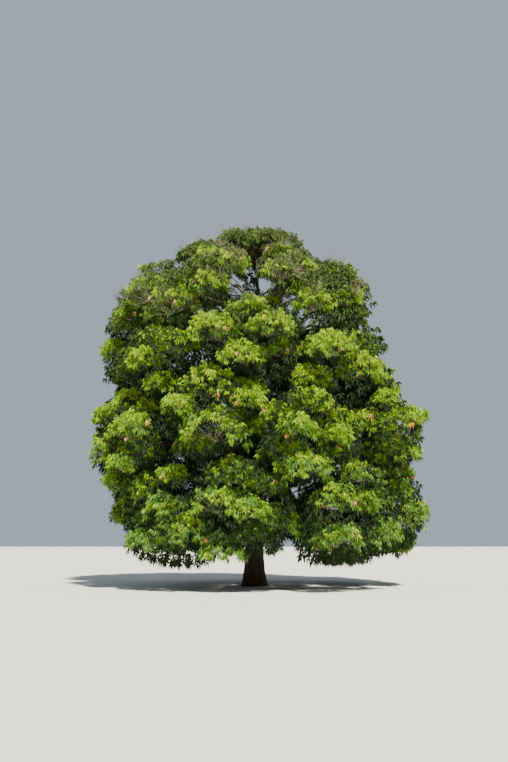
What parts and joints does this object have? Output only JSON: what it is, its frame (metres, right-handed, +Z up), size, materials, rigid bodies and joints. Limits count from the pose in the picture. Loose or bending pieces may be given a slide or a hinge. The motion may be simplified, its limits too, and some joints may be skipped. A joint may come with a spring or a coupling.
{
  "type": "mango tree",
  "caption": "Full-grown mango tree: a stout trunk, tiers of spreading boughs and a broad, dense dome of drooping foliage that hangs close to the ground.",
  "frame": {"origin": "middle of the flat cut under the trunk, at ground level", "axes": "+Z up along the trunk; X across the crown's widest view, whose near side is -Y"},
  "size_m": [13.1588, 11.8385, 14.9304],
  "materials": {
    "bark": "dark brown-grey, furrowed bark",
    "limb": "grey-tan bark of younger limbs and twigs, nearly smooth",
    "foliage": "leathery mango leaves with a soft gloss, yellow-green in the sun and deep green below"
  },
  "bodies": {
    "root": {"trunk": "bark", "bough_skirt_1": "limb", "bough_skirt_2": "limb", "bough_skirt_3": "limb", "bough_skirt_4": "limb", "bough_low_1": "limb", "bough_low_2": "limb", "bough_low_3": "limb", "bough_low_4": "limb", "bough_middle_1": "limb", "bough_middle_2": "limb", "bough_middle_3": "limb", "bough_middle_4": "limb", "bough_shoulder_1": "limb", "bough_shoulder_2": "limb", "bough_shoulder_3": "limb", "bough_upper_1": "limb", "bough_upper_2": "limb", "bough_top": "limb", "foliage_skirt_1": "foliage", "foliage_skirt_2": "foliage", "foliage_skirt_3": "foliage", "foliage_skirt_4": "foliage", "foliage_skirt_5": "foliage", "foliage_skirt_6": "foliage", "foliage_skirt_7": "foliage", "foliage_skirt_8": "foliage", "foliage_low_1": "foliage", "foliage_low_2": "foliage", "foliage_low_3": "foliage", "foliage_low_4": "foliage", "foliage_low_5": "foliage", "foliage_low_6": "foliage", "foliage_low_7": "foliage", "foliage_low_8": "foliage", "foliage_middle_1": "foliage", "foliage_middle_2": "foliage", "foliage_middle_3": "foliage", "foliage_middle_4": "foliage", "foliage_middle_5": "foliage", "foliage_middle_6": "foliage", "foliage_middle_7": "foliage", "foliage_middle_8": "foliage", "foliage_shoulder_1": "foliage", "foliage_shoulder_2": "foliage", "foliage_shoulder_3": "foliage", "foliage_shoulder_4": "foliage", "foliage_shoulder_5": "foliage", "foliage_shoulder_6": "foliage", "foliage_upper_1": "foliage", "foliage_upper_2": "foliage", "foliage_upper_3": "foliage", "foliage_upper_4": "foliage", "foliage_top": "foliage"}
  },
  "joints": []
}
